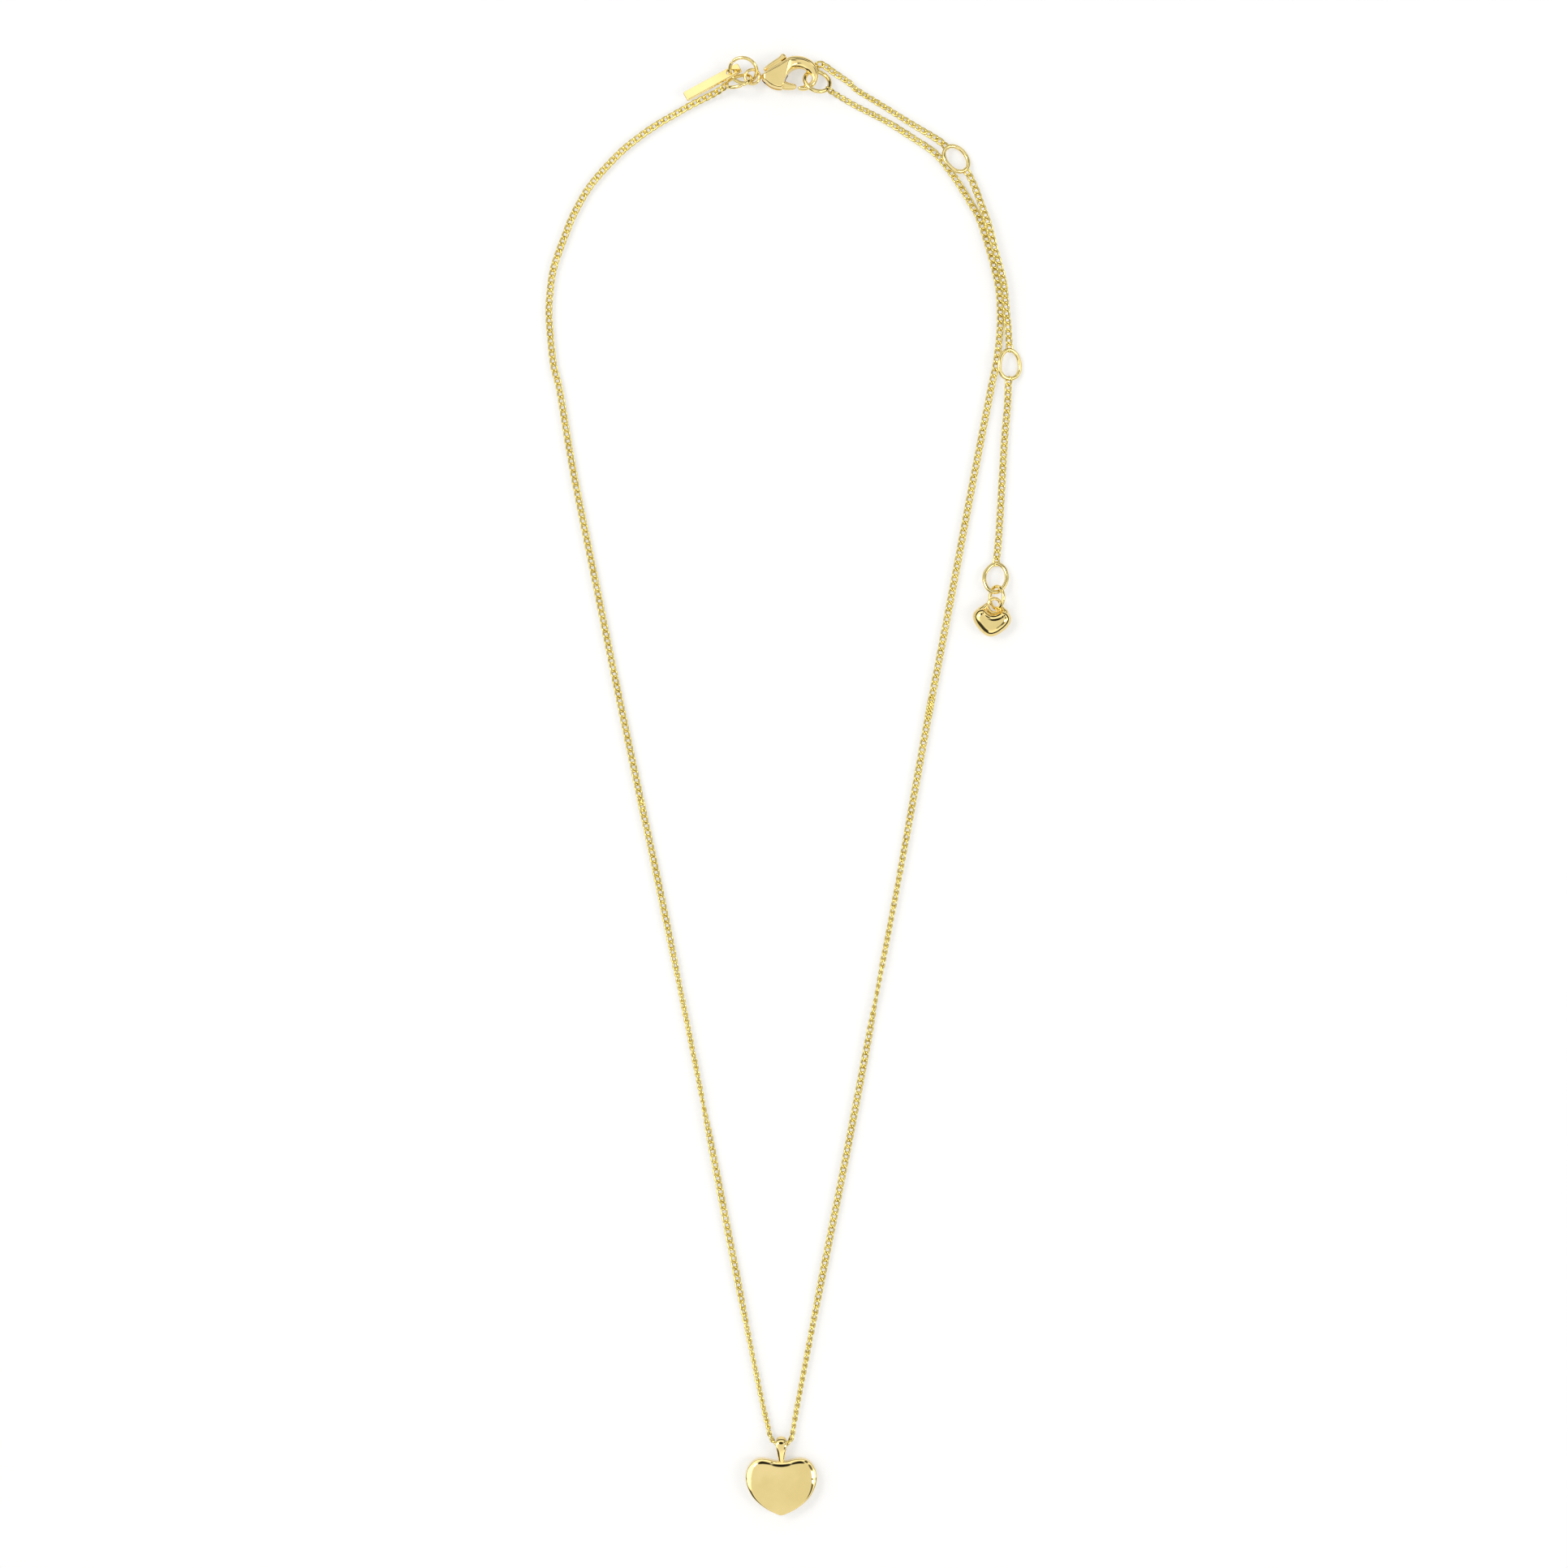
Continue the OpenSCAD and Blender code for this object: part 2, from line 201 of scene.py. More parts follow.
def gold(name, low, high, rough, bump, scale):
    """Polished gold: two close tones in slow clouds, faint polishing marks and a fine grain."""
    m = bpy.data.materials.new(name)
    m.use_nodes = True
    nt = m.node_tree
    b = nt.nodes["Principled BSDF"]
    b.inputs["Metallic"].default_value = 1.0
    b.inputs["IOR"].default_value = 1.45
    tc = nt.nodes.new("ShaderNodeTexCoord")
    cloud = nt.nodes.new("ShaderNodeTexNoise")
    cloud.inputs["Scale"].default_value = scale
    cloud.inputs["Detail"].default_value = 3.0
    ramp = nt.nodes.new("ShaderNodeValToRGB")
    ramp.color_ramp.elements[0].position = 0.35
    ramp.color_ramp.elements[0].color = lin(low)
    ramp.color_ramp.elements[1].position = 0.65
    ramp.color_ramp.elements[1].color = lin(high)
    nt.links.new(tc.outputs["Object"], cloud.inputs["Vector"])
    nt.links.new(cloud.outputs["Fac"], ramp.inputs["Fac"])
    nt.links.new(ramp.outputs["Color"], b.inputs["Base Color"])
    stretch = nt.nodes.new("ShaderNodeMapping")
    stretch.inputs["Scale"].default_value = (1.0, 7.0, 3.0)
    fine = nt.nodes.new("ShaderNodeTexNoise")
    fine.inputs["Scale"].default_value = scale * 9
    fine.inputs["Detail"].default_value = 4.0
    span = nt.nodes.new("ShaderNodeMapRange")
    span.inputs["To Min"].default_value = rough * 0.7
    span.inputs["To Max"].default_value = rough * 1.4
    nt.links.new(tc.outputs["Object"], stretch.inputs["Vector"])
    nt.links.new(stretch.outputs["Vector"], fine.inputs["Vector"])
    nt.links.new(fine.outputs["Fac"], span.inputs["Value"])
    nt.links.new(span.outputs["Result"], b.inputs["Roughness"])
    bm = nt.nodes.new("ShaderNodeBump")
    bm.inputs["Strength"].default_value = bump
    bm.inputs["Distance"].default_value = 0.00002
    nt.links.new(fine.outputs["Fac"], bm.inputs["Height"])
    nt.links.new(bm.outputs["Normal"], b.inputs["Normal"])
    return m


POLISHED = gold("gold_polished", (0.925, 0.835, 0.565), (0.965, 0.875, 0.615), 0.045, 0.015, 260)
WIRE = gold("gold_wire", (0.92, 0.84, 0.55), (0.96, 0.88, 0.62), 0.08, 0.08, 500)
CHAIN = gold("gold_chain", (0.865, 0.78, 0.44), (0.915, 0.84, 0.53), 0.10, 0.08, 700)
DEEP = gold("gold_deep", (0.78, 0.68, 0.40), (0.86, 0.76, 0.48), 0.22, 0.20, 700)


# ---------------------------------------------------------------- chain
# Routes as in the CAD, one list for each body, from the left end ring round to the hook ring
LEFT_UPPER = [
    (-8.42, 95.14, 1.36), (-9.5, 94.55, 0.9), (-11.0, 93.85, 0.65), (-12.9, 92.9, 0.57),
    (-14.9, 91.75, 0.57), (-16.9, 90.6, 0.57), (-18.6, 89.5, 0.57), (-20.1, 88.4, 0.57),
    (-21.5, 87.3, 0.57), (-22.7, 86.2, 0.57), (-24.8, 84.0, 0.57), (-26.6, 81.8, 0.57),
    (-28.0, 79.5, 0.57), (-29.1, 77.3, 0.57), (-30.0, 75.0, 0.57), (-30.8, 72.9, 0.57),
    (-31.5, 70.7, 0.57), (-31.9, 68.4, 0.57), (-32.16, 65.1, 0.57), (-32.0, 61.8, 0.57),
    (-31.5, 57.3, 0.57), (-30.7, 54.0, 0.57), (-29.6, 47.3, 0.57), (-28.4, 40.6, 0.57),
    (-25.7, 27.3, 0.57), (-23.0, 14.0, 0.57), (-19.55, -2.47, 0.57)]
LEFT_LOWER = [
    (-19.45, -2.9, 0.57), (-17.35, -12.7, 0.57), (-14.6, -26.0, 0.57), (-11.9, -39.4, 0.57),
    (-9.3, -52.7, 0.57), (-6.7, -66.0, 0.57), (-4.05, -79.4, 0.57), (-2.65, -86.0, 0.57),
    (-2.08, -88.3, 0.57)]
BOTTOM = [
    (-2.0, -88.75, 0.6), (-1.8, -89.45, 0.72), (-1.42, -90.0, 0.95), (-1.08, -90.28, 1.1),
    (-0.32, -90.36, 1.15), (0.44, -90.28, 1.1), (0.78, -90.0, 0.95), (1.14, -89.45, 0.72),
    (1.29, -88.75, 0.6)]
RIGHT_UPPER = [
    (6.68, 94.68, 1.28), (8.2, 93.85, 0.75), (9.9, 92.9, 0.57), (12.1, 91.8, 0.57),
    (14.4, 90.6, 0.57), (16.2, 89.5, 0.57), (17.9, 88.4, 0.57), (19.6, 87.3, 0.57),
    (21.0, 86.2, 0.57), (22.8, 84.0, 0.57), (24.3, 81.8, 0.57), (25.7, 79.5, 0.57),
    (26.9, 77.3, 0.57), (28.3, 72.9, 0.57), (29.4, 68.4, 0.57), (29.7, 65.1, 0.57),
    (29.65, 61.8, 0.57), (29.1, 57.3, 0.57), (28.4, 54.0, 0.57), (25.8, 40.6, 0.57),
    (23.3, 27.3, 0.57), (20.05, 10.32, 0.57)]
RIGHT_LOWER = [
    (19.96, 9.88, 0.57), (15.85, -12.7, 0.57), (13.3, -26.0, 0.57), (10.8, -39.4, 0.57),
    (8.25, -52.7, 0.57), (5.6, -66.0, 0.57), (3.0, -79.4, 0.57), (1.75, -86.0, 0.57),
    (1.36, -88.3, 0.57)]
EXT_1 = [
    (4.95, 98.62, 0.58), (5.7, 98.35, 0.58), (7.1, 97.35, 0.58), (8.9, 96.15, 0.57),
    (10.1, 95.05, 0.57), (13.7, 92.85, 0.57), (17.3, 90.6, 0.57), (20.9, 88.4, 0.7),
    (21.95, 87.55, 0.8)]
EXT_2 = [
    (25.45, 83.35, 0.85), (26.2, 81.7, 0.95), (27.0, 79.5, 1.25), (27.8, 77.3, 1.4),
    (28.4, 75.2, 1.5), (28.95, 72.9, 1.55), (29.6, 70.6, 1.55), (30.15, 68.4, 1.48),
    (30.45, 65.1, 1.4), (30.75, 62.3, 1.1), (30.9, 60.2, 0.95)]
EXT_3 = [
    (30.8, 54.7, 0.8), (30.7, 52.0, 0.57), (30.3, 47.3, 0.57), (29.9, 40.6, 0.57),
    (29.5, 34.0, 0.57), (29.2, 30.9, 0.6)]
PITCH = 0.93        # spacing of the links
LINK_A = 0.62       # half length of a link's wire line
LINK_B = 0.350      # half width of a link's wire line
LINK_R = 0.150      # wire radius
LINK_TWIST = -33.0  # turn of each end of a link about its length, in degrees
END_GAP = 0.35      # from a route's end to the centre of its last link
MID_X = -0.32       # the line through the bail and the pendant
# heights up the table of the pivots that part the stretches
LEFT_WAIST_Y, RIGHT_WAIST_Y, BAIL_END_Y = -2.69, 10.1, -88.52


def link_shape(around=26, sides=10):
    """One curb link: an oval of wire, twisted so that it lies flat through its neighbours."""
    a, b, r = LINK_A, LINK_B, LINK_R
    t = np.linspace(0, 2 * math.pi, around, endpoint=False)
    x = a * np.sign(np.cos(t)) * np.abs(np.cos(t)) ** 0.9
    y = b * np.sign(np.sin(t)) * np.abs(np.sin(t)) ** 0.8
    th = np.radians(LINK_TWIST) * x / a
    p = np.column_stack([x, y * np.cos(th), y * np.sin(th)])
    tan = unit(np.roll(p, -1, 0) - np.roll(p, 1, 0))
    out = np.column_stack([np.cos(t) / a, np.sin(t) * np.cos(th) / b, np.sin(t) * np.sin(th) / b])
    out = unit(out - (out * tan).sum(1, keepdims=True) * tan)
    up = np.cross(tan, out)
    k = np.linspace(0, 2 * math.pi, sides, endpoint=False)
    v = (p[:, None] + r * (np.cos(k)[None, :, None] * out[:, None]
                           + np.sin(k)[None, :, None] * up[:, None])).reshape(-1, 3)
    f = []
    for i in range(around):
        j = (i + 1) % around
        for s in range(sides):
            m = (s + 1) % sides
            f.append([i * sides + s, i * sides + m, j * sides + m, j * sides + s])
    return v, np.array(f)


LV, LF = link_shape()


def roll_at(y, marks):
    """Turn of the chain at height y, from marks listed downwards."""
    ys = [m[0] for m in marks][::-1]
    rs = [m[1] for m in marks][::-1]
    return np.interp(y, ys, rs)


def place_links(centres, tan, rolls):
    """Links at centres, along tan, each turned by its roll."""
    vs, fs = [], []
    for i, (c, t, r) in enumerate(zip(centres, tan, rolls)):
        s = unit(np.cross([0, 0, 1], t))
        u = np.cross(t, s)
        cr, sr = math.cos(math.radians(r)), math.sin(math.radians(r))
        y, z = cr * s + sr * u, cr * u - sr * s
        vs.append(c + LV[:, :1] * t + LV[:, 1:2] * y + LV[:, 2:3] * z)
        fs.append(LF + i * len(LV))
    return np.vstack(vs), np.vstack(fs)


def chain_links(route):
    """Centres and directions of the links along one smooth route."""
    p = spline(route, 0.05)
    s = arc(p)
    n = int(round((s[-1] - 2 * END_GAP) / PITCH))
    g = np.linspace(END_GAP, s[-1] - END_GAP, n + 1)
    c = np.column_stack([np.interp(g, s, p[:, k]) for k in range(3)])
    q = np.column_stack([np.interp(np.clip(g + 0.2, 0, s[-1]), s, p[:, k])
                         - np.interp(np.clip(g - 0.2, 0, s[-1]), s, p[:, k]) for k in range(3)])
    return c, unit(q)


def chain_piece(name, node, body, c, t, rolls):
    """One stretch of links."""
    v, f = place_links(c, t, rolls)
    ob = mesh_object(name, v, f, body, CHAIN)
    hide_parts(node)


ROLL_SPREAD = 5.0  # how far single links lie off the chain's turn, in degrees
# Where the chain lies flat and where it stands on edge: height up the table, turn in degrees
LEFT_TURN = [(96, 20), (90, 0), (60, 8), (20, -8), (-18, 0), (-27, 55), (-42, 62), (-48, 150),
             (-56, 180), (-68, 180), (-74, 235), (-91, 248)]
RIGHT_TURN = [(96, 55), (91, 50), (84, 0), (60, -8), (30, 0), (0, 0), (-12, 55), (-26, 62),
              (-34, 150), (-42, 180), (-68, 180), (-74, 235), (-91, 248)]
EXT_TURN = [(99, 30), (95, 60), (91, 55), (86, 0), (60, 8), (52, 0), (30, 0)]


def main_chain():
    """The loop's chain as one run of links, split where the pivots are."""
    start, end = (-7.86, 95.66, 1.60), (6.10, 95.12, 1.55)
    route = ([start] + LEFT_UPPER + LEFT_LOWER + BOTTOM + RIGHT_LOWER[::-1] + RIGHT_UPPER[::-1]
             + [end])
    c, t = chain_links(route)
    y = c[:, 1]
    left = c[:, 0] < MID_X
    stretch = np.select([left & (y > LEFT_WAIST_Y), left & (y > BAIL_END_Y),
                         ~left & (y > RIGHT_WAIST_Y), ~left & (y > BAIL_END_Y)], [0, 1, 4, 3], 2)
    rolls = np.where(left, roll_at(y, LEFT_TURN), -roll_at(y, RIGHT_TURN))
    rolls = rolls + RNG.normal(0, ROLL_SPREAD, len(c))
    names = [("links_left_upper", "chain_left_upper", "left_upper", LEFT_UPPER),
             ("links_left_lower", "chain_left_lower", "left_lower", LEFT_LOWER),
             ("links_bottom", "chain_bottom", "bottom", None),
             ("links_right_lower", "chain_right_lower", "right_lower", RIGHT_LOWER),
             ("links_right_upper", "chain_right_upper", "right_upper", RIGHT_UPPER)]
    for k, (name, node, body, r) in enumerate(names):
        m = stretch == k
        chain_piece(name, node, body, c[m], t[m], rolls[m])


def extension():
    """The extension's three stretches, each from ring to ring."""
    ends = {1: ((4.62, 97.75, 0.55), (22.35, 87.2, 0.95)),
            2: ((24.95, 84.0, 0.90), (30.95, 59.45, 0.98)),
            3: ((30.95, 55.45, 0.95), (29.15, 30.2, 0.45))}
    first = [(4.45, 98.35, 0.50)]
    for k, route, body in ((1, EXT_1, "extension_upper"), (2, EXT_2, "extension_middle"),
                           (3, EXT_3, "extension_end")):
        a, b = ends[k]
        c, t = chain_links([a] + (first if k == 1 else []) + route + [b])
        rolls = roll_at(c[:, 1], EXT_TURN) + RNG.normal(0, ROLL_SPREAD, len(c))
        chain_piece("links_extension_%d" % k, "extension_chain_%d" % k, body, c, t, rolls)


main_chain()
extension()


# ---------------------------------------------------------------- rings
def lean(at, tilt, az, pts):
    """Points of a flat figure put in the plane of a ring that leans by tilt towards az."""
    b = math.radians(tilt)
    ry = np.array([[math.cos(b), 0, math.sin(b)], [0, 1, 0], [-math.sin(b), 0, math.cos(b)]])
    return np.asarray(pts) @ (turn_z(az) @ ry).T + np.array(at)


def ring_piece(name, node, body, pts, r, cut=None):
    """A ring of wire. cut is the point near which its two ends meet."""
    pts = np.asarray(pts, float)
    if cut is None:
        v, f = sweep(pts, r, r, pts[0] - pts.mean(0), closed=True, sides=18)
    else:
        k = int(np.linalg.norm(pts - np.array(cut), axis=1).argmin())
        p = np.roll(pts, -k, 0)
        p = np.vstack([p, p[:1]])
        s = arc(p)
        g = np.linspace(CUT_GAP, s[-1] - CUT_GAP, 140)
        p = np.column_stack([np.interp(g, s, p[:, j]) for j in range(3)])
        v, f = sweep(p, r, r, p[0] - pts.mean(0), sides=18, round_ends=0.05)
    ob = mesh_object(name, v, f, body, WIRE)
    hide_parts(node)


CUT_GAP = 0.03  # half the gap between the two ends of a cut ring


def circle_pts(r, squash=1.0):
    """A flat circle, or an oval that is squash times as high as wide."""
    t = np.linspace(0, 2 * math.pi, 128, endpoint=False)
    return np.column_stack([r * np.cos(t), squash * r * np.sin(t), 0 * t])


ring_piece("ring_left", "end_ring_left", "left_upper",
           lean((-6.18, 96.07, 1.84), 58.3, 108.3, circle_pts(1.77)), 0.26, cut=(-5.76, 95.45, 2.9))
ring_piece("ring_tag", "tag_ring", "left_upper",
           lean((-5.52, 97.55, 1.85), 35.2, 254.6, circle_pts(1.87)), 0.24, cut=(-7.1, 98.6, 2.4))
ring_piece("ring_hook", "hook_ring", "clasp",
           lean((4.61, 96.11, 1.45), 35, 63.5, circle_pts(1.77)), 0.29)
ring_piece("ring_charm", "charm_ring", "charm_link",
           lean((29.17, 25.50, 1.52), 55.5, 180, circle_pts(1.50)), 0.25)


def oval_ring(name, node, body, at, turn, roll, drop):
    """An adjusting ring: long way along its turned axis, drop makes one end more pointed."""
    t = np.linspace(0, 2 * math.pi, 160, endpoint=False)
    x = 1.98 * np.sign(np.cos(t)) * np.abs(np.cos(t)) ** 0.92
    y = 1.56 * np.sin(t) * (1 - drop * np.cos(t))
    b = math.radians(roll)
    p = np.column_stack([x, y * math.cos(b), y * math.sin(b)])
    ring_piece(name, node, body, p @ turn_z(turn).T + np.array(at), 0.29)


oval_ring("ring_adjust_1", "adjust_ring_1", "extension_upper", (23.64, 85.60, 0.98), -51, -24, 0.0)
oval_ring("ring_adjust_2", "adjust_ring_2", "extension_middle", (30.95, 57.45, 0.98), 90, 24, 0.12)

END_RING = [(29.29, 30.23), (30.11, 29.71), (30.50, 28.96), (30.58, 28.07), (30.26, 27.18),
            (29.67, 26.45), (28.90, 26.24), (28.12, 26.58), (27.66, 27.25), (27.50, 28.07),
            (27.66, 28.96), (28.25, 29.70), (28.92, 30.15)]
# it leans by 13 degrees, its upper end down on the table
end_ring = loop_spline([(x, y, 0.85 + (28.25 - y) * math.tan(math.radians(13)))
                        for x, y in END_RING], 150)
ring_piece("ring_end", "end_ring_right", "extension_end", end_ring, 0.29)


# ---------------------------------------------------------------- hearts
# Half outlines, tip at the origin, half width 1
HEART = [
    (0.00, 0.00), (0.07, 0.012), (0.16, 0.05), (0.35, 0.14), (0.56, 0.28), (0.76, 0.46),
    (0.885, 0.645), (0.965, 0.83), (1.00, 1.00), (1.00, 1.10), (0.975, 1.225), (0.93, 1.33),
    (0.84, 1.46), (0.72, 1.545), (0.58, 1.58), (0.44, 1.573), (0.30, 1.545), (0.18, 1.51),
    (0.00, 1.49)]
CHARM = [
    (0.00, 0.00), (0.10, 0.01), (0.23, 0.05), (0.44, 0.17), (0.61, 0.32), (0.77, 0.48),
    (0.90, 0.66), (0.98, 0.83), (1.00, 0.97), (0.985, 1.10), (0.93, 1.22), (0.84, 1.33),
    (0.72, 1.40), (0.58, 1.44), (0.45, 1.43), (0.32, 1.36), (0.18, 1.25), (0.00, 1.20)]
HEART_HALF = 9.74 / 2   # half width of the pendant
CHARM_HALF = 5.26 / 2   # half width of the charm
HEART_FACE = 2.0        # height of the pendant's flat face
HEART_TIP = (MID_X, -100.05, 0)
CHARM_TIP = (28.22, 20.16, 0.0)
CHARM_MID = 1.22        # height of the charm's edge
CHARM_BULGE = 1.16      # how far it swells on each face
CHARM_ROUND = 1.22      # how far in from the edge it goes on swelling


def heart_outline(half, k, n):
    """The whole outline of a heart of half width k, in n points."""
    pts = [(x * k, y * k) for x, y in half] + [(-x * k, y * k) for x, y in half[-2:0:-1]]
    return loop_spline(pts, n)


def edge_distance(q, edge):
    """Distance from each point of q to the closed outline edge."""
    a, b = edge, np.roll(edge, -1, 0)
    d = b - a
    best = np.full(len(q), 1e9)
    for i in range(len(a)):
        w = q - a[i]
        t = np.clip((w @ d[i]) / max(d[i] @ d[i], 1e-12), 0, 1)
        best = np.minimum(best, np.linalg.norm(w - t[:, None] * d[i], axis=1))
    return best


def puffed(outline, centre, rings, top, bottom):
    """A closed form over a star-shaped outline. top(d, q) and bottom(d, q) give its heights."""
    n = len(outline)
    c = np.array(centre)
    rho = np.sin(np.linspace(math.pi / 2, 0.02, rings))
    q = np.vstack([c + (outline - c) * k for k in rho])
    q = np.vstack([q, c[None]])
    d = edge_distance(q, outline)
    d[:n] = 0
    zt, zb = top(d, q), bottom(d, q)
    v = np.vstack([np.column_stack([q, zt]), np.column_stack([q, zb])])
    m = len(q)
    f = []
    for i in range(rings - 1):
        for k in range(n):
            j = (k + 1) % n
            f.append([i * n + k, i * n + j, (i + 1) * n + j, (i + 1) * n + k])
            f.append([m + i * n + j, m + i * n + k, m + (i + 1) * n + k, m + (i + 1) * n + j])
    last = (rings - 1) * n
    for k in range(n):
        j = (k + 1) % n
        f.append([last + k, last + j, m - 1])
        f.append([m + last + j, m + last + k, 2 * m - 1])
        f.append([j, k, m + k, m + j])
    return v, f


def swell(d, r):
    """0 at the edge, 1 from r inwards, round in between."""
    x = np.clip(1 - d / r, 0, 1)
    return (1 - x ** 2) ** 0.5


def rim(q):
    """How far in from the edge the pendant's rolled rim reaches: wide over the lobes and
    narrow towards the tip."""
    x, y = q[:, 0] / HEART_HALF, q[:, 1] / HEART_HALF
    low = np.clip((y - 0.15) / 0.85, 0, 1)
    wide = 0.16 + 0.86 * low ** 1.5
    return wide - 0.20 * np.clip((y - 1.15) / 0.4, 0, 1) + 0.16 * np.clip(-x, 0, 1) * low


def front(d, q):
    """Height of the pendant's front: a flat face, its rolled rim and a small edge."""
    r = rim(q)
    roll = 0.40 * r * np.clip(1 - d / r, 0, 1) ** 2
    return HEART_FACE - roll - 0.09 * (1 - swell(d, 0.09))


# pendant heart, with a flat mirror face and a flat back
v, f = puffed(heart_outline(HEART, HEART_HALF, 240), (0, 0.86 * HEART_HALF), 64, front,
              lambda d, q: 0.30 - 0.30 * swell(d, 0.30))
v = v + np.array(HEART_TIP)
ob = mesh_object("heart_pendant", v, f, "pendant", POLISHED, sharp=50)
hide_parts("pendant_heart")

# charm heart: puffed on both faces, its loop sunk into the dip
v, f = puffed(heart_outline(CHARM, CHARM_HALF, 160), (0, 0.80 * CHARM_HALF), 36,
              lambda d, q: CHARM_MID + CHARM_BULGE * swell(d, CHARM_ROUND),
              lambda d, q: CHARM_MID - CHARM_BULGE * swell(d, CHARM_ROUND))
v = v @ turn_z(-7).T + np.array(CHARM_TIP)
loop = lean((28.86, 24.39, 1.20), 0, 0, circle_pts(0.89, squash=1.10))
parts = [(v, f), sweep(loop, 0.23, 0.25, (1, 0, 0), closed=True, sides=20)]
# shoulders that run from the loop into the lobes: x, y, z, half depth, half width
for rows in (((28.20, 24.98, 1.20, 0.20, 0.14), (27.86, 24.56, 1.20, 0.27, 0.27),
              (27.48, 24.12, 1.21, 0.44, 0.42), (27.02, 23.66, 1.22, 0.72, 0.56),
              (26.80, 23.10, 1.22, 0.80, 0.50)),
             ((29.66, 24.62, 1.20, 0.20, 0.14), (29.80, 24.22, 1.20, 0.26, 0.26),
              (30.02, 23.82, 1.21, 0.42, 0.38), (30.30, 23.40, 1.22, 0.70, 0.52),
              (30.30, 22.80, 1.22, 0.80, 0.40))):
    s = spline(rows, 0.06)
    parts.append(sweep(s[:, 0:3], s[:, 3], s[:, 4], (0, 0, 1), sides=20))
v, f = join(parts)
ob = mesh_object("heart_charm", v, f, "charm", POLISHED)
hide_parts("charm_heart")

# bail: one strap folded over the chain, its two legs meeting in the heart's dip.
# y and z along the strap, and its half width
STRAP = [(-92.85, 1.44, 0.30), (-92.40, 1.58, 0.42), (-91.85, 1.78, 0.50), (-91.30, 1.98, 0.58),
         (-90.80, 2.08, 0.70), (-90.34, 2.05, 0.77), (-89.95, 1.90, 0.74), (-89.68, 1.62, 0.62),
         (-89.56, 1.15, 0.48), (-89.72, 0.58, 0.62), (-90.34, 0.32, 0.74), (-91.05, 0.36, 0.62),
         (-91.75, 0.60, 0.52), (-92.35, 0.86, 0.42), (-92.85, 1.00, 0.30)]
s = spline(STRAP, 0.05)
path = np.column_stack([np.full(len(s), MID_X), s[:, 0], s[:, 1]])
legs = even(np.array([(MID_X, -91.50, 1.20), (MID_X, -92.1, 1.18), (MID_X, -92.6, 1.16),
                      (MID_X, -93.05, 1.15)]), 0.06)
v, f = join([sweep(path, s[:, 2], 0.21, (1, 0, 0), sides=26),
             sweep(legs, np.linspace(0.42, 0.34, len(legs)), np.linspace(0.34, 0.36, len(legs)),
                   (1, 0, 0), sides=22, round_ends=0.2)])
ob = mesh_object("bail", v, f, "pendant", POLISHED)
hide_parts("pendant_bail")


# ---------------------------------------------------------------- tag
def tag():
    """The blank bar tag: a plate with rounded edges and a round hole at one end."""
    cu = bpy.data.curves.new("tag_shape", "CURVE")
    cu.dimensions = "2D"
    cu.fill_mode = "BOTH"
    bevel = 0.06
    cu.extrude = 0.00014
    cu.bevel_depth = bevel * U
    cu.bevel_resolution = 3
    x0, x1, h, r = -1.50 + bevel, 7.0 - bevel, 0.725 - bevel, 0.22
    pts = []
    for cx, cy, a0 in ((x1 - r, h - r, 0), (x0 + r, h - r, 90), (x0 + r, r - h, 180),
                       (x1 - r, r - h, 270)):
        for j in range(7):
            a = math.radians(a0 + 15 * j)
            pts.append((cx + r * math.cos(a), cy + r * math.sin(a)))
    hole = [(0.54 * math.cos(t), -0.54 * math.sin(t))
            for t in np.linspace(0, 2 * math.pi, 40, endpoint=False)]
    for ps in (pts, hole):
        sp = cu.splines.new("POLY")
        sp.points.add(len(ps) - 1)
        for q, (x, y) in zip(sp.points, ps):
            q.co = (x * U, y * U, 0, 1)
        sp.use_cyclic_u = True
    tmp = bpy.data.objects.new("tag_tmp", cu)
    bpy.context.collection.objects.link(tmp)
    bpy.context.view_layer.update()
    me = bpy.data.meshes.new_from_object(tmp.evaluated_get(bpy.context.evaluated_depsgraph_get()))
    bpy.data.objects.remove(tmp)
    co = np.array([v.co[:] for v in me.vertices]) / U
    fs = [list(p.vertices) for p in me.polygons]
    b = math.radians(27)  # it leans on its long edge
    rx = np.array([[1, 0, 0], [0, math.cos(b), -math.sin(b)], [0, math.sin(b), math.cos(b)]])
    co = co @ (turn_z(208.5) @ rx).T + np.array([-7.31, 97.33, 1.38])
    ob = mesh_object("tag_bar", co, fs, "tag", POLISHED, sharp=35)
    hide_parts("tag_plate")


tag()


# ---------------------------------------------------------------- clasp
CLASP_Z = 1.5          # height of the clasp's middle plane
PIVOT = (-1.60, 96.42)  # the rivet
SLOT = (-2.90, 0.93, 0.55)  # first and last x of the slot for the lever, and half its height


def skin(mid, half, c, u):
    """The closed surface through the cross sections of a loft."""
    v = np.concatenate([mid[:, None, :] + c[:, :, None] * half[:, None, :],
                        (CLASP_Z + u)[:, :, None]], axis=2).reshape(-1, 3)
    n, sides = c.shape
    f = [[i * sides + m, (i + 1) * sides + m, (i + 1) * sides + (m + 1) % sides,
          i * sides + (m + 1) % sides] for i in range(n - 1) for m in range(sides)]
    f.append(list(range(sides)))
    f.append([(n - 1) * sides + m for m in range(sides - 1, -1, -1)])
    return v, f


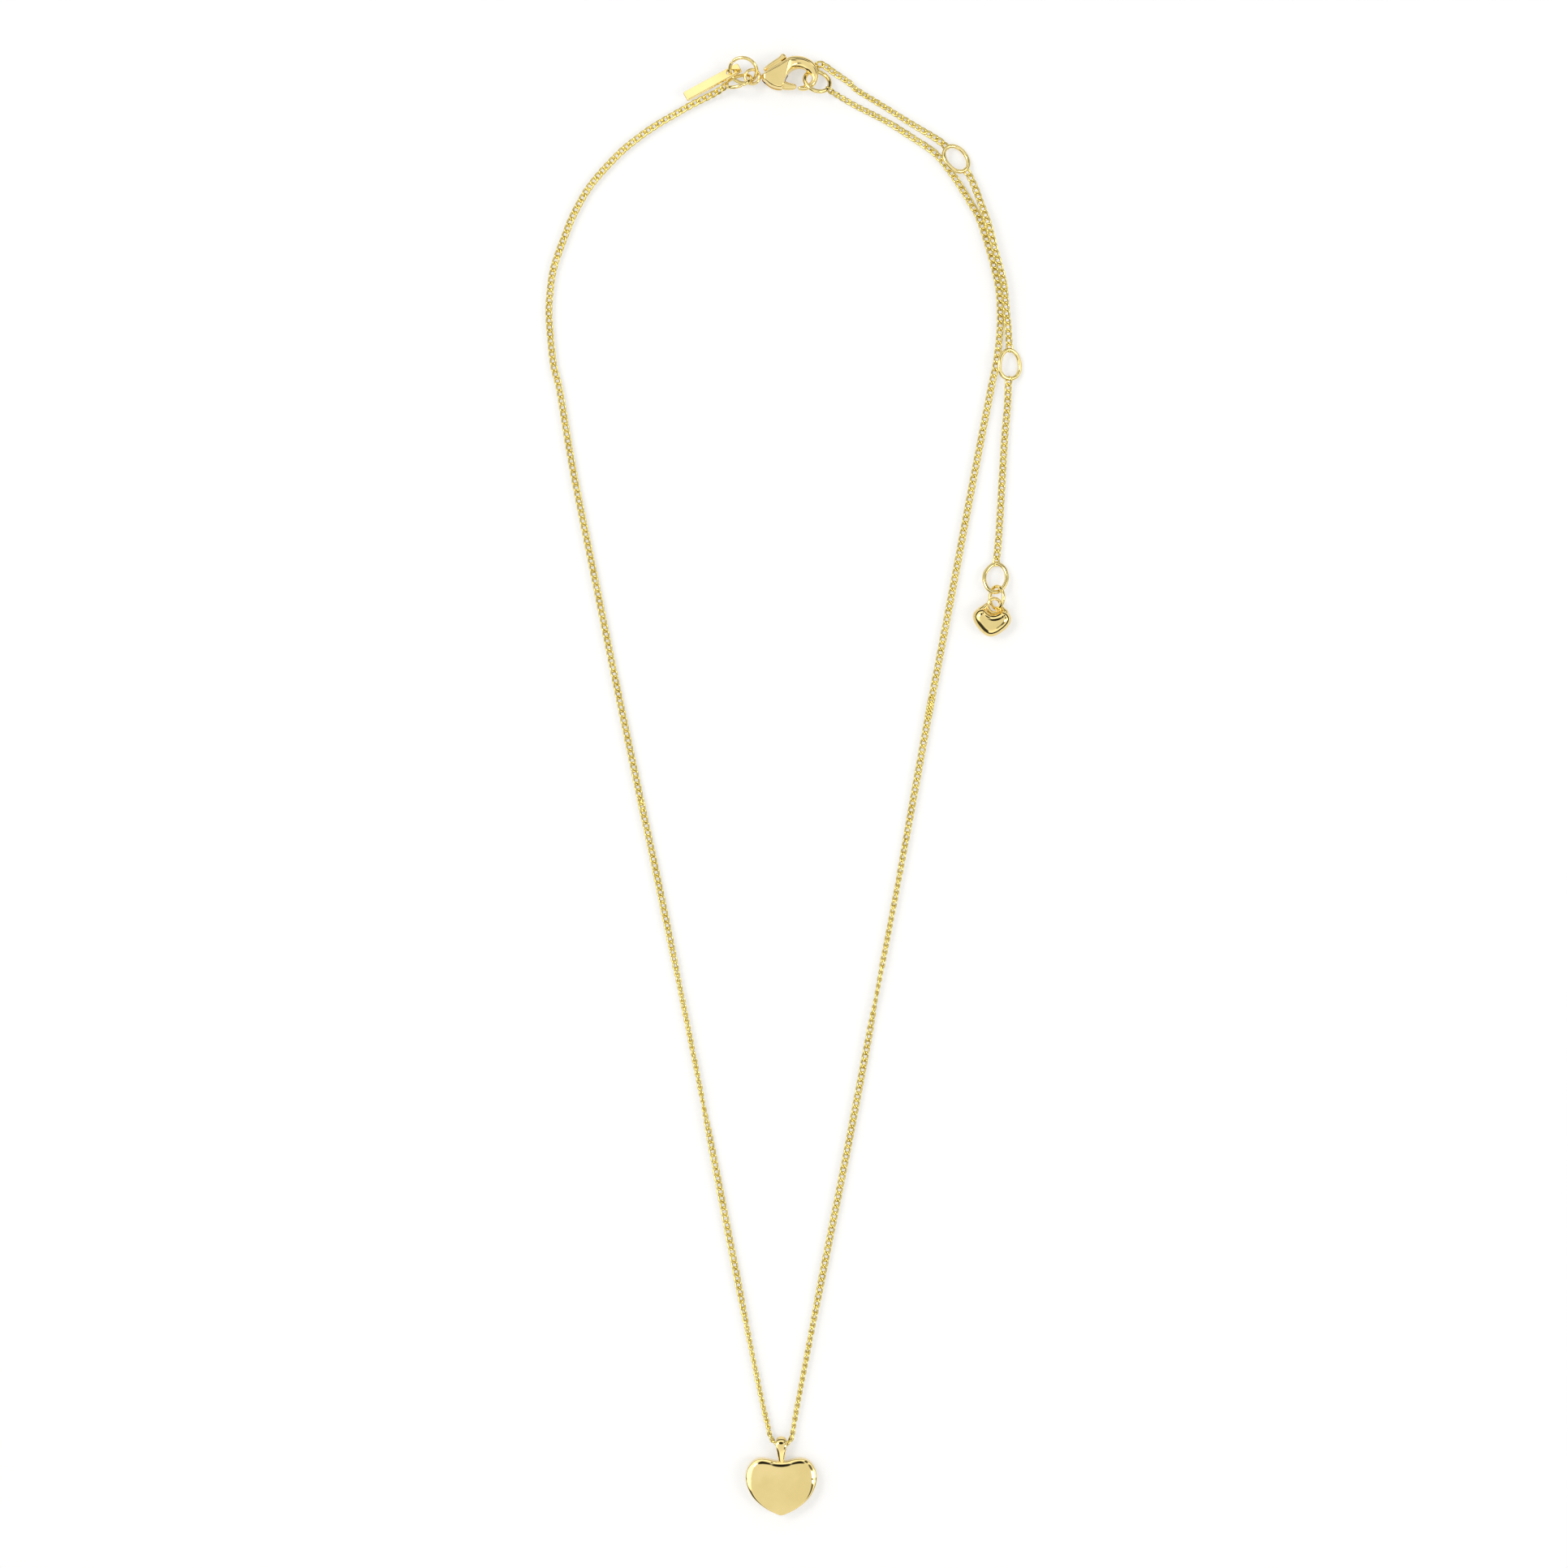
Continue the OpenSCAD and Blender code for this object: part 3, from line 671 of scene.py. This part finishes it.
def between(rows, start=0.0, end=0.0, slot=None):
    """A form lofted between two edges. Each row is x, y of one edge, x, y of the other, half
    thickness, and the width and depth of its rounded corners. start and end are the lengths
    over which its two ends are rounded off. slot is the first and last x of a run that is
    split into two cheeks, and half the gap between them."""
    s = spline(rows, 0.08)
    a, b = s[:, 0:2], s[:, 2:4]
    mid, half = (a + b) / 2, (a - b) / 2
    d = arc(mid)
    k = np.ones(len(mid))
    if start:
        k *= np.sqrt(np.clip(1 - (1 - np.clip(d / start, 0, 1)) ** 2, 0.0006, 1))
    if end:
        k *= np.sqrt(np.clip(1 - (1 - np.clip((d[-1] - d) / end, 0, 1)) ** 2, 0.0006, 1))
    half, high = half * k[:, None], s[:, 4] * np.sqrt(k)
    w = np.linalg.norm(half, axis=1)
    rx = np.minimum(s[:, 5] / np.maximum(w, 1e-6), 0.92)[:, None]
    rz = np.minimum(s[:, 6] * np.sqrt(k), high)[:, None]
    q = np.radians(np.linspace(0, 90, 11))
    across, up = [], []
    for sx, sz, quarter in ((1, 1, q), (-1, 1, q[::-1]), (-1, -1, q), (1, -1, q[::-1])):
        across.append(sx * ((1 - rx) + rx * np.cos(quarter)[None]))
        up.append(sz * ((high[:, None] - rz) + rz * np.sin(quarter)[None]))
        if sx == sz:  # extra lines on the flat, so that it shades flat
            across.append((1 - rx) * np.array([[0.94, 0.5, 0.0, -0.5, -0.94]]) * sx)
            up.append(sz * high[:, None] * np.ones((1, 5)))
    c, u = np.hstack(across), np.hstack(up)
    if slot is None:
        return skin(mid, half, c, u)
    i = int(np.argmax(mid[:, 0] > slot[0]))
    j = int(np.argmax(mid[:, 0] > slot[1]))
    a, b, e = slice(0, i + 1), slice(i, j + 1), slice(j, None)
    return join([skin(mid[a], half[a], c[a], u[a]),
                 skin(mid[b], half[b], c[b], np.maximum(u[b], slot[2])),
                 skin(mid[b], half[b], c[b], np.minimum(u[b], -slot[2])),
                 skin(mid[e], half[e], c[e], u[e])])


CLAW = [
    (-3.12, 96.86, -3.10, 96.56, 0.50, 0.3, 0.5), (-2.92, 97.02, -2.96, 96.30, 1.00, 0.40, 0.9),
    (-2.62, 97.24, -2.68, 96.00, 1.40, 0.42, 0.9), (-2.20, 97.54, -2.26, 95.66, 1.44, 0.44, 0.8),
    (-1.70, 97.84, -1.78, 95.32, 1.44, 0.46, 0.7), (-1.20, 98.12, -1.24, 95.10, 1.44, 0.46, 0.7),
    (-0.55, 98.46, -0.60, 94.99, 1.44, 0.46, 0.7), (0.12, 98.92, -0.06, 95.16, 1.44, 0.50, 0.7),
    (0.72, 99.32, 0.16, 96.02, 1.40, 0.62, 0.8),
    (1.30, 99.52, 0.56, 96.86, 1.20, 0.80, 0.9), (1.88, 99.60, 1.14, 97.48, 1.02, 0.90, 0.95),
    (2.52, 99.54, 1.92, 97.78, 0.86, 0.90, 0.9), (3.20, 99.32, 2.56, 97.76, 0.72, 0.9, 0.9),
    (3.90, 98.92, 3.14, 97.50, 0.60, 0.9, 0.9), (4.44, 98.26, 3.58, 97.12, 0.52, 0.9, 0.9),
    (4.70, 97.40, 3.82, 96.74, 0.46, 0.9, 0.9), (4.68, 96.50, 3.84, 96.40, 0.42, 0.9, 0.9),
    (4.40, 95.74, 3.66, 96.04, 0.42, 0.9, 0.9), (3.92, 95.22, 3.32, 95.78, 0.42, 0.9, 0.9),
    (3.30, 94.90, 2.92, 95.62, 0.42, 0.9, 0.9), (2.66, 94.78, 2.48, 95.50, 0.42, 0.9, 0.9),
    (2.10, 94.90, 2.16, 95.44, 0.38, 0.9, 0.9), (1.88, 95.05, 1.98, 95.40, 0.32, 0.9, 0.9)]
GATE = [
    (-0.78, 96.42, -0.72, 95.12, 0.47, 0.3, 0.35),
    (-0.25, 96.30, -0.30, 95.02, 0.47, 0.3, 0.35), (0.20, 96.12, 0.12, 94.94, 0.47, 0.3, 0.35),
    (0.62, 95.95, 0.56, 94.90, 0.47, 0.3, 0.35), (1.05, 95.82, 1.00, 94.90, 0.46, 0.3, 0.35),
    (1.42, 95.75, 1.40, 94.96, 0.44, 0.3, 0.35), (1.80, 95.66, 1.76, 95.12, 0.38, 0.3, 0.35)]
WING = [
    (-2.84, 97.78, -2.58, 97.42, 0.40, 0.2, 0.3), (-2.60, 98.00, -2.34, 97.54, 0.46, 0.2, 0.35),
    (-2.20, 98.34, -1.90, 97.86, 0.48, 0.2, 0.35), (-1.60, 98.78, -1.28, 98.28, 0.48, 0.2, 0.35),
    (-1.05, 99.14, -0.72, 98.62, 0.48, 0.2, 0.35), (-0.66, 99.42, -0.22, 98.86, 0.49, 0.25, 0.35),
    (-0.42, 99.66, 0.16, 99.04, 0.50, 0.3, 0.35), (-0.28, 99.86, 0.42, 99.28, 0.50, 0.3, 0.4),
    (-0.12, 100.0, 0.42, 99.62, 0.44, 0.3, 0.4)]

# the lever's plate, between the cheeks
WEB = [(-2.40, 97.46), (-1.95, 97.96), (-1.35, 98.44), (-0.74, 98.92), (-0.30, 99.05),
       (-0.35, 98.20), (-0.30, 97.30), (-0.20, 96.62), (0.20, 96.02), (0.12, 95.08),
       (-0.50, 95.08), (-1.20, 95.22), (-1.70, 95.44), (-2.15, 95.76), (-2.48, 96.06),
       (-2.46, 96.90)]


def plate(outline, centre, radius, z0, z1):
    """A flat plate with a round hole, each point of which faces one of the outline's."""
    edge = even(np.array(outline + outline[:1], float), 0.06)[:-1]
    d = edge - np.array(centre)
    angle = np.unwrap(np.arctan2(d[:, 1], d[:, 0]))
    if angle[-1] < angle[0]:
        edge, angle = edge[::-1], angle[::-1]
    m = len(edge)
    hole = np.array(centre) + radius * np.column_stack([np.cos(angle), np.sin(angle)])
    rings = [(edge, z0), (edge, z1), (hole, z1), (hole, z0)]
    v = np.vstack([np.column_stack([r, np.full(m, z)]) for r, z in rings])
    f = [[a * m + i, a * m + (i + 1) % m, ((a + 1) % 4) * m + (i + 1) % m, ((a + 1) % 4) * m + i]
         for a in range(4) for i in range(m)]
    return v, f


NECK = [
    (-3.42, 96.98, -3.42, 96.50, 0.26, 0.3, 0.3), (-3.20, 96.90, -3.20, 96.56, 0.34, 0.3, 0.4),
    (-2.95, 97.00, -2.95, 96.44, 0.60, 0.3, 0.6)]
eye = lean((-4.28, 96.75, CLASP_Z), 0, 0, circle_pts(0.98))
v, f = join([between(CLAW, end=0.30, slot=SLOT),
             sweep(eye, 0.22, 0.25, (1, 0, 0), closed=True, sides=20), between(NECK)])
ob = mesh_object("clasp_claw", v, f, "clasp", POLISHED, sharp=50)
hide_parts("clasp_body")

# the plate's upper part has a wider hole, the recess for the spring
v, f = join([between(GATE, end=0.25), between(WING, start=0.2, end=0.30),
             plate(WEB, PIVOT, 0.47, 1.05, 1.55), plate(WEB, PIVOT, 0.76, 1.55, 1.95)])
ob = mesh_object("clasp_gate", v, f, "lever", POLISHED, sharp=50)
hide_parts("clasp_lever")

for name, mat in (("clasp_rivet", POLISHED), ("clasp_spring", DEEP)):
    o = frame["nodes"][name]
    o.data.materials.clear()
    o.data.materials.append(mat)


# ---------------------------------------------------------------- floor, light and world
def floor():
    """A pale table that gives off some light, so that it comes out white."""
    me = bpy.data.meshes.new("floor")
    r, z = 2.0, -0.00004
    me.from_pydata([(-r, -r, z), (r, -r, z), (r, r, z), (-r, r, z)], [], [(0, 1, 2, 3)])
    ob = bpy.data.objects.new("floor", me)
    bpy.context.collection.objects.link(ob)
    m = bpy.data.materials.new("floor_pale")
    m.use_nodes = True
    nt = m.node_tree
    b = nt.nodes["Principled BSDF"]
    b.inputs["Roughness"].default_value = 0.9
    b.inputs["Specular IOR Level"].default_value = 0.1
    no = nt.nodes.new("ShaderNodeTexNoise")
    no.inputs["Scale"].default_value = 30.0
    rp = nt.nodes.new("ShaderNodeValToRGB")
    rp.color_ramp.elements[0].color = (0.50, 0.50, 0.50, 1)
    rp.color_ramp.elements[1].color = (0.52, 0.52, 0.52, 1)
    nt.links.new(no.outputs["Fac"], rp.inputs["Fac"])
    nt.links.new(rp.outputs["Color"], b.inputs["Base Color"])
    nt.links.new(rp.outputs["Color"], b.inputs["Emission Color"])
    b.inputs["Emission Strength"].default_value = 0.86
    me.materials.append(m)


def area(name, loc, size, power):
    """A soft light aimed at the middle of the table."""
    li = bpy.data.lights.new(name, "AREA")
    li.shape = "RECTANGLE"
    li.size, li.size_y = size
    li.energy = power
    ob = bpy.data.objects.new(name, li)
    bpy.context.collection.objects.link(ob)
    ob.location = loc
    ob.rotation_mode = "QUATERNION"
    ob.rotation_quaternion = (-Vector(loc)).to_track_quat("-Z", "Y")


def world():
    """A pale studio seen by reflection: bright sides, a dark low band, and soft cards."""
    w = bpy.data.worlds.new("studio")
    bpy.context.scene.world = w
    w.use_nodes = True
    nt = w.node_tree
    bg = nt.nodes["Background"]
    tc = nt.nodes.new("ShaderNodeTexCoord")
    sep = nt.nodes.new("ShaderNodeSeparateXYZ")
    up = nt.nodes.new("ShaderNodeValToRGB")
    e = up.color_ramp.elements
    e[0].position, e[0].color = 0.0, (0.02, 0.015, 0.01, 1)
    e[1].position, e[1].color = 1.0, (0.93, 0.93, 0.93, 1)
    for pos, val in ((0.20, 0.03), (0.34, 0.12), (0.42, 1.35), (0.62, 1.30), (0.84, 1.00),
                     (0.95, 0.93)):
        x = e.new(pos)
        x.color = (val, val, val * 0.98, 1)
    nt.links.new(tc.outputs["Generated"], sep.inputs["Vector"])
    nt.links.new(sep.outputs["Z"], up.inputs["Fac"])
    last = up.outputs["Color"]
    # azimuth, elevation, inner and outer half angle, how bright the card is
    cards = ((92, 60, 11, 17, 0.02), (58, 40, 7, 12, 0.05), (225, 24, 16, 26, 0.05),
             (330, 50, 9, 17, 0.16), (20, 46, 7, 15, 0.16), (180, 38, 14, 24, 2.2),
             (0, 30, 8, 14, 2.6))
    for az, el, inner, outer, val in cards:
        a, b = math.radians(az), math.radians(el)
        dot = nt.nodes.new("ShaderNodeVectorMath")
        dot.operation = "DOT_PRODUCT"
        dot.inputs[1].default_value = (math.cos(a) * math.cos(b), math.sin(a) * math.cos(b),
                                       math.sin(b))
        nt.links.new(tc.outputs["Generated"], dot.inputs[0])
        edge = nt.nodes.new("ShaderNodeMapRange")
        edge.inputs["From Min"].default_value = math.cos(math.radians(outer))
        edge.inputs["From Max"].default_value = math.cos(math.radians(inner))
        nt.links.new(dot.outputs["Value"], edge.inputs["Value"])
        mix = nt.nodes.new("ShaderNodeMix")
        mix.data_type = "RGBA"
        mix.inputs["B"].default_value = (val, val * 0.98, val * 0.95, 1)
        nt.links.new(edge.outputs["Result"], mix.inputs["Factor"])
        nt.links.new(last, mix.inputs["A"])
        last = mix.outputs["Result"]
    nt.links.new(last, bg.inputs["Color"])
    bg.inputs["Strength"].default_value = 1.0


floor()
world()
area("key", (-0.45, 0.25, 0.75), (0.30, 0.22), 1.6)
area("fill", (0.55, -0.15, 0.60), (0.20, 0.30), 1.1)
scene = bpy.context.scene
scene.view_settings.view_transform = "Standard"
scene.view_settings.look = "None"
scene.view_settings.exposure = 0.0
